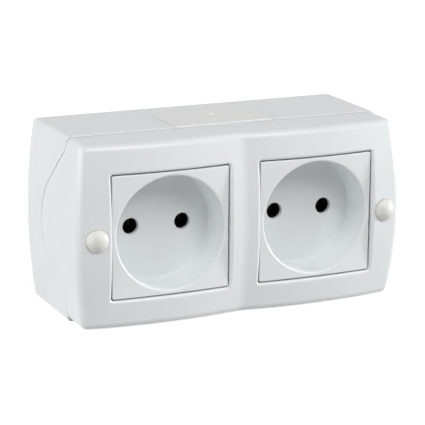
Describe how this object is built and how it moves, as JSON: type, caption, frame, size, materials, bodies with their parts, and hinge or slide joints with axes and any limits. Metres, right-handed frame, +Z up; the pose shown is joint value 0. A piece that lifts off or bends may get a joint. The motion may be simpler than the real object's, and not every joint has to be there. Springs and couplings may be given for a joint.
{
  "type": "double wall socket",
  "caption": "Surface-mounted double wall socket: bulging moulded cover on a rear box, square plates with round wells and pin holes, brass contacts inside.",
  "frame": {"origin": "centre of the flat back face that lies on the wall", "axes": "+X to the right seen from the front, +Y into the wall, +Z up"},
  "size_m": [0.1206, 0.0522, 0.0642],
  "materials": {
    "housing_plastic": "satin moulded",
    "socket_plastic": "satin moulded",
    "entry_plastic": "fine matt",
    "cap_plastic": "smooth",
    "carrier_plastic": "moulded thermoset",
    "contact_brass": "rolled strip",
    "plated_steel": "zinc plated"
  },
  "bodies": {
    "root": {"rear_box": "housing_plastic", "front_cover": "housing_plastic", "top_entry_plate": "entry_plastic", "left_socket_plate": "socket_plastic", "left_screw_cap": "cap_plastic", "left_cover_screw": "plated_steel", "left_contact_carrier": "carrier_plastic", "left_socket_upper_carrier_screw": "plated_steel", "left_socket_lower_carrier_screw": "plated_steel", "left_socket_left_contact": "contact_brass", "left_socket_left_terminal_clamp": "plated_steel", "left_socket_left_terminal_screw": "plated_steel", "left_socket_right_contact": "contact_brass", "left_socket_right_terminal_clamp": "plated_steel", "left_socket_right_terminal_screw": "plated_steel", "right_socket_plate": "socket_plastic", "right_screw_cap": "cap_plastic", "right_cover_screw": "plated_steel", "right_contact_carrier": "carrier_plastic", "right_socket_upper_carrier_screw": "plated_steel", "right_socket_lower_carrier_screw": "plated_steel", "right_socket_left_contact": "contact_brass", "right_socket_left_terminal_clamp": "plated_steel", "right_socket_left_terminal_screw": "plated_steel", "right_socket_right_contact": "contact_brass", "right_socket_right_terminal_clamp": "plated_steel", "right_socket_right_terminal_screw": "plated_steel"}
  },
  "joints": []
}
